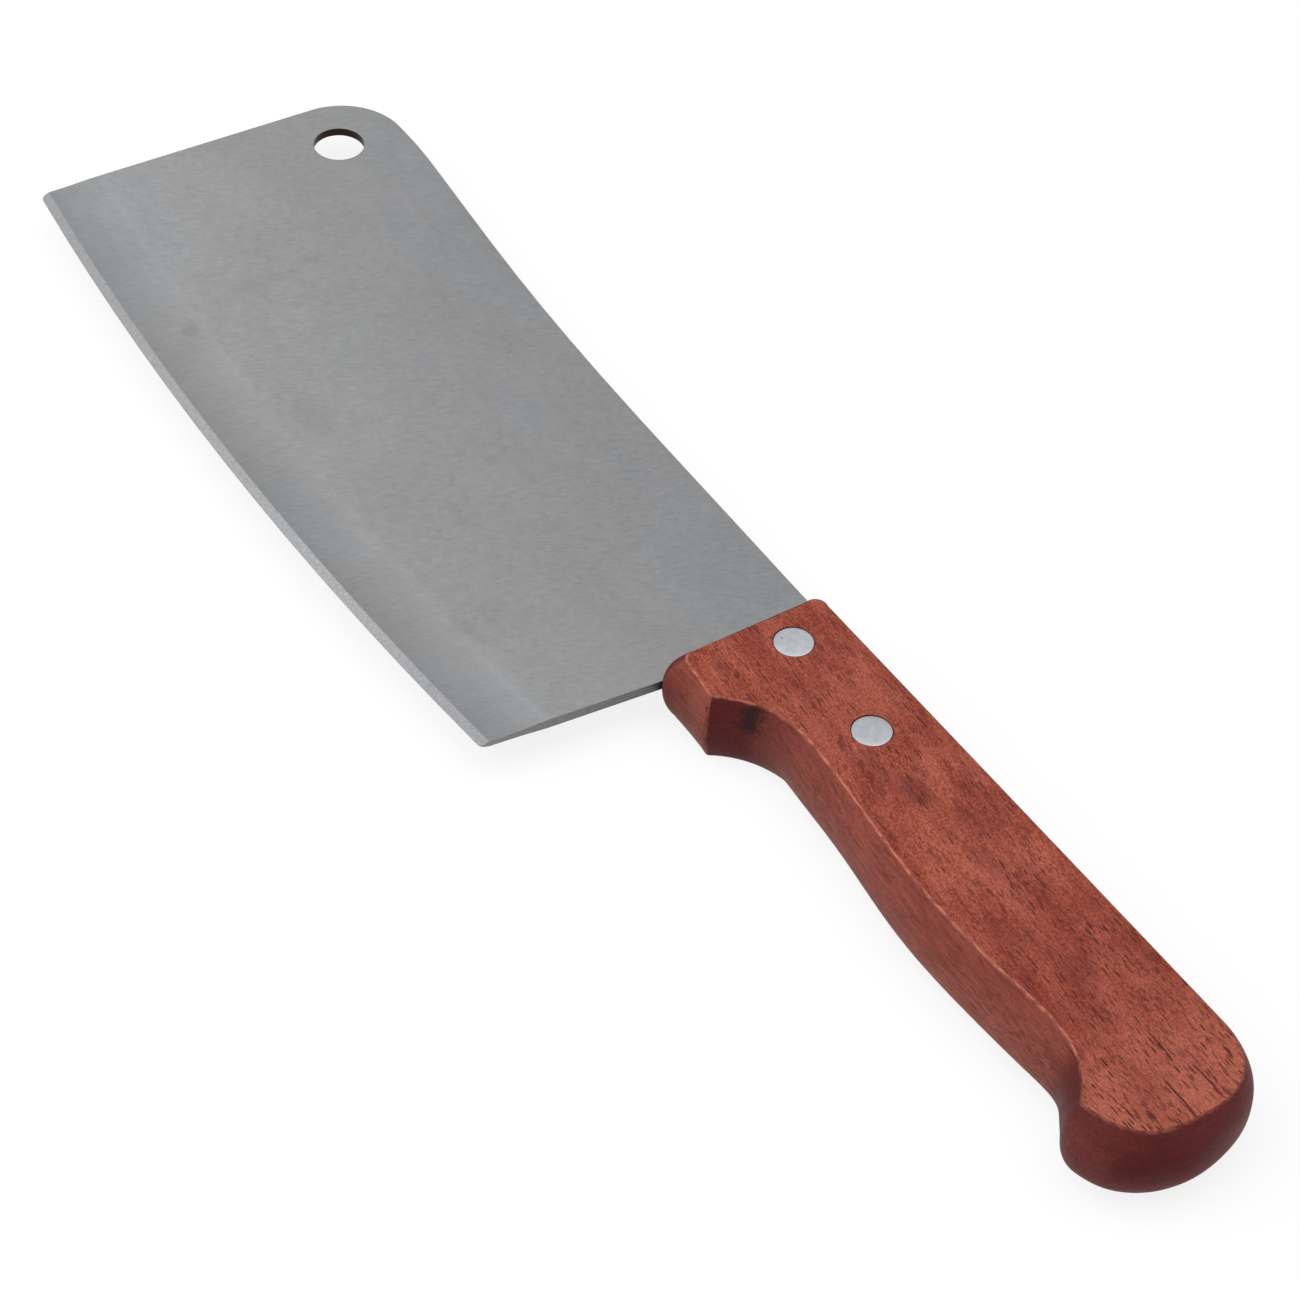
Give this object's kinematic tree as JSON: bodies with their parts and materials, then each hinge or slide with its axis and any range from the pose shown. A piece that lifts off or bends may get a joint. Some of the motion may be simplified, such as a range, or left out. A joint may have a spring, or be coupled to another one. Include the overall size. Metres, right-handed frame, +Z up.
{
  "type": "chinese cleaver",
  "caption": "Kitchen cleaver with a broad hollow-ground steel blade, a hanging hole in its tip corner and a riveted, scooped wooden handle with a hooked butt.",
  "frame": {"origin": "middle of the whole knife's bounding box, on the surface that the handle's underside lies on", "axes": "+X from the blade's tip to the handle's butt, +Y from the cutting edge to the spine, +Z up through the thickness; the blade's middle plane is 8 mm above the origin"},
  "size_m": [0.3368, 0.086, 0.016],
  "materials": {
    "blade_steel": "fine cross-ground",
    "handle_wood": "red stained, satin",
    "rivet_aluminium": "matte"
  },
  "bodies": {
    "root": {"blade": "blade_steel", "handle": "handle_wood", "rivet_front_barrel": "rivet_aluminium", "rivet_front_stem": "rivet_aluminium", "rivet_rear_barrel": "rivet_aluminium", "rivet_rear_stem": "rivet_aluminium"}
  },
  "joints": []
}
